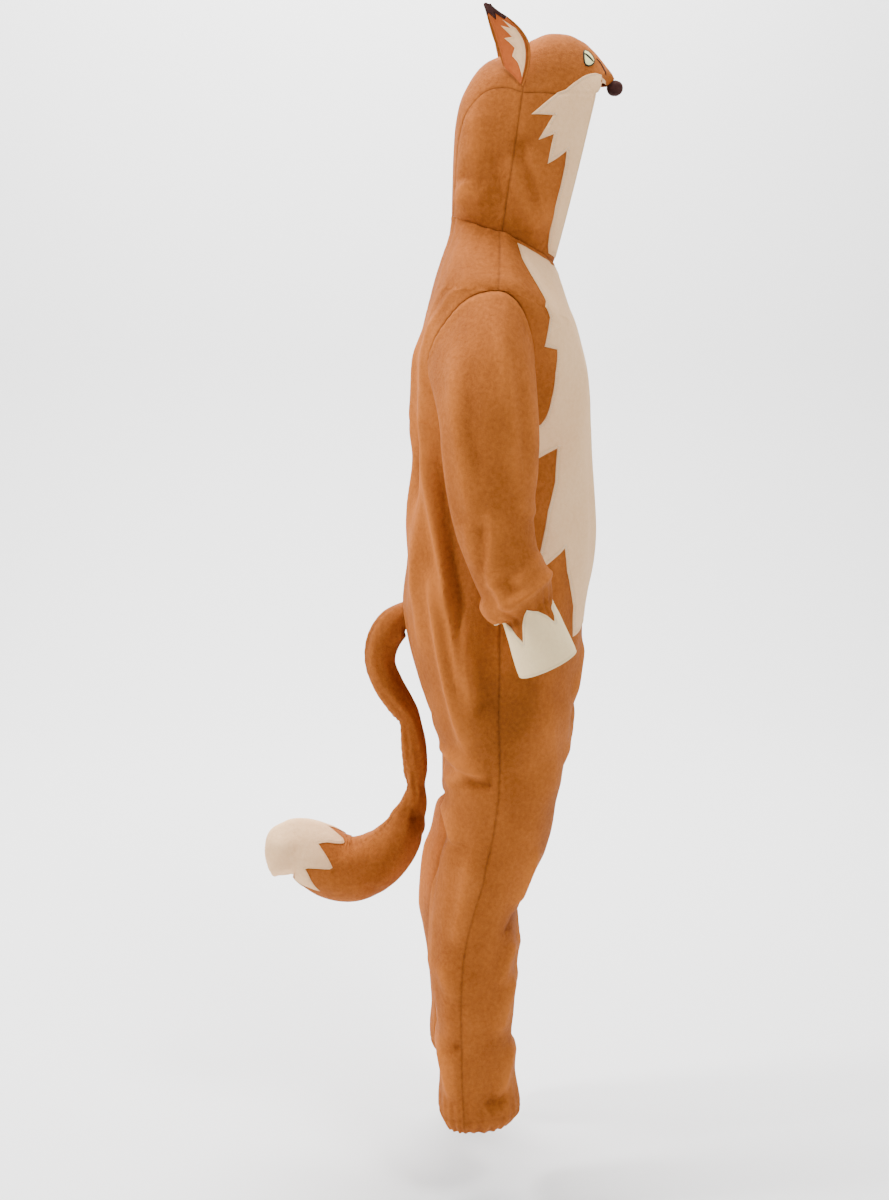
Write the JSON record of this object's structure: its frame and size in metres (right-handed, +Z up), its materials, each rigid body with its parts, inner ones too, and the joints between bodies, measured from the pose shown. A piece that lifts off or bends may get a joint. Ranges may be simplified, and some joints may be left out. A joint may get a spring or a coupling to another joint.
{
  "type": "fox costume, hooded onesie worn with no wearer",
  "caption": "Hooded fleece fox onesie, hollow, in worn pose: eared snout hood, cream bib and cheeks, zigzag cuffs, stuffed tail.",
  "frame": {"origin": "between the shoulders at the base of the neck, in the middle plane, where the garment hangs on its wearer", "axes": "+Z up along the garment, -Y the way it faces, +X to the wearer's left"},
  "size_m": [0.6306, 0.5825, 1.7655],
  "materials": {
    "orange_fleece": "brushed fleece, matt, orange-brown",
    "cream_fleece": "brushed fleece, matt, warm cream",
    "cuff_fleece": "brushed fleece, matt, yellow cream",
    "ear_fleece": "brushed fleece, matt, redder orange",
    "dark_felt": "felt, dark brown",
    "eye_felt": "felt, pale yellow"
  },
  "bodies": {
    "root": {"front_right": "orange_fleece", "front_left": "orange_fleece", "back_right": "orange_fleece", "back_left": "orange_fleece", "sleeve_right": "orange_fleece", "sleeve_left": "orange_fleece", "zip_tape_right": "orange_fleece", "zip_tape_left": "orange_fleece", "hood_strip": "orange_fleece", "hood_face": "orange_fleece", "hood_back_right": "orange_fleece", "hood_back_left": "orange_fleece", "hood_front_right": "orange_fleece", "hood_front_left": "orange_fleece", "ear_back_right": "orange_fleece", "ear_back_left": "orange_fleece", "tail": "orange_fleece", "belly_right": "cream_fleece", "belly_left": "cream_fleece", "cheek_right": "cream_fleece", "cheek_left": "cream_fleece", "ear_flash_right": "cream_fleece", "ear_flash_left": "cream_fleece", "tail_tip": "cream_fleece", "cuff_right": "cuff_fleece", "cuff_left": "cuff_fleece", "ear_front_right": "ear_fleece", "ear_front_left": "ear_fleece", "ear_tip_right": "dark_felt", "ear_tip_left": "dark_felt", "nose": "dark_felt", "eye_right": "eye_felt", "eye_left": "eye_felt"}
  },
  "joints": []
}
